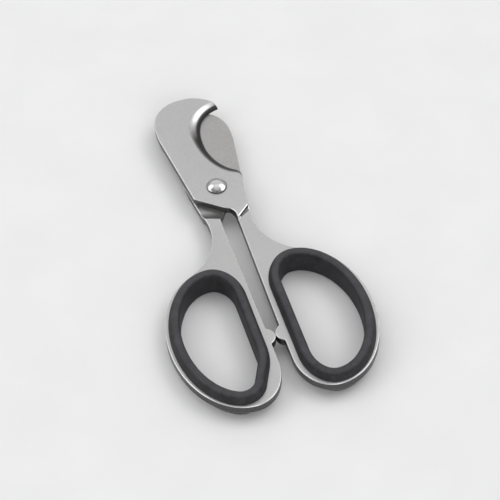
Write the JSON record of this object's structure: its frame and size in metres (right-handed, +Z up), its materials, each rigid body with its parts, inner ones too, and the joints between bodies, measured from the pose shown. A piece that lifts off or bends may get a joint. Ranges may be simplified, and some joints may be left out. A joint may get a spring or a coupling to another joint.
{
  "type": "cigar scissors",
  "caption": "Short steel scissors with overlapping crescent-notched blades, a domed pivot and wide finger loops lined with soft black rings.",
  "frame": {"origin": "middle of the bounding box's bottom face, on the plane that the liners' undersides rest on", "axes": "+Y towards the blade tips, +Z up out of the front blade's face, +X across to the front loop's side"},
  "size_m": [0.0744, 0.1494, 0.0105],
  "materials": {
    "blade_steel": "satin, with bright ground bevels",
    "grip_rubber": "matte, finely textured",
    "pivot_steel": "polished",
    "washer_steel": "satin"
  },
  "bodies": {
    "rear_half": {"rear_blade_and_handle": "blade_steel", "rear_grip_liner": "grip_rubber", "pivot_post": "pivot_steel", "spring_washer": "washer_steel", "pivot_screw": "pivot_steel"},
    "front_half": {"front_blade_and_handle": "blade_steel", "front_grip_liner": "grip_rubber"}
  },
  "joints": [
    {"name": "blade_pivot", "type": "hinge", "parent": "rear_half", "child": "front_half", "pos_m": [0, 0.02645, 0.00525], "axis": [0, 0, 1], "range_deg": [0, 66]}
  ]
}
